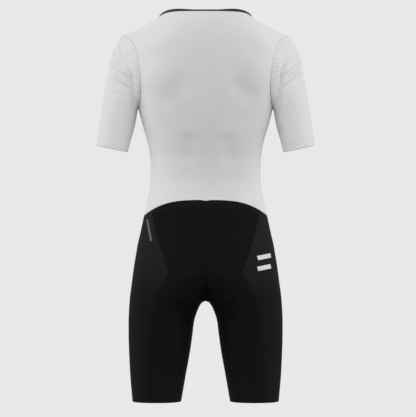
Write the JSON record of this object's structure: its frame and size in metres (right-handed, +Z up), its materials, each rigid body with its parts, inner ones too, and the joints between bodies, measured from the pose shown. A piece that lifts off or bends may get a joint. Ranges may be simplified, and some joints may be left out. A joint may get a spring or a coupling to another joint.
{
  "type": "triathlon suit",
  "caption": "One-piece short-sleeved triathlon suit with a light top, dark panelled shorts, a seat pad and a front zip, shown filled out as worn.",
  "frame": {"origin": "The middle of the neck opening, level with the sides of the neck, where the suit hangs on its wearer.", "axes": "+Z up along the body. The front faces -Y and the back, which the picture shows, faces +Y. The wearer's left side is +X."},
  "size_m": [0.496, 0.2213, 0.887],
  "materials": {
    "white_cloth": "matt",
    "sleeve_cloth": "matt",
    "black_cloth": "matt",
    "glossy_cloth": "satin",
    "zip_cloth": "matt",
    "zip_teeth": "satin",
    "zip_metal": "satin",
    "tab_cloth": "matt",
    "pad_foam": "matt"
  },
  "bodies": {
    "suit": {"waist_strip_left": "black_cloth", "waist_strip_right": "black_cloth", "yoke_left": "black_cloth", "yoke_right": "black_cloth", "seat_left": "black_cloth", "seat_right": "black_cloth", "back_leg_left": "black_cloth", "back_leg_right": "black_cloth", "side_panel_left": "glossy_cloth", "side_panel_right": "glossy_cloth", "front_leg_left": "black_cloth", "front_leg_right": "black_cloth", "back_body": "white_cloth", "front_left": "white_cloth", "front_right": "white_cloth", "sleeve_left": "sleeve_cloth", "sleeve_right": "sleeve_cloth", "gusset": "black_cloth", "neck_binding": "black_cloth", "waist_hem": "white_cloth", "zip_tape": "zip_cloth", "zip_chain": "zip_teeth", "side_tab": "tab_cloth", "seat_pad": "pad_foam", "zip_slider": "zip_metal"},
    "zip_pull": {"zip_pull": "zip_metal"}
  },
  "joints": [
    {"name": "zip_pull_hinge", "type": "hinge", "parent": "suit", "child": "zip_pull", "pos_m": [0, -0.07418, -0.06308], "axis": [-1, 0, 0], "range_deg": [0, 150]}
  ]
}
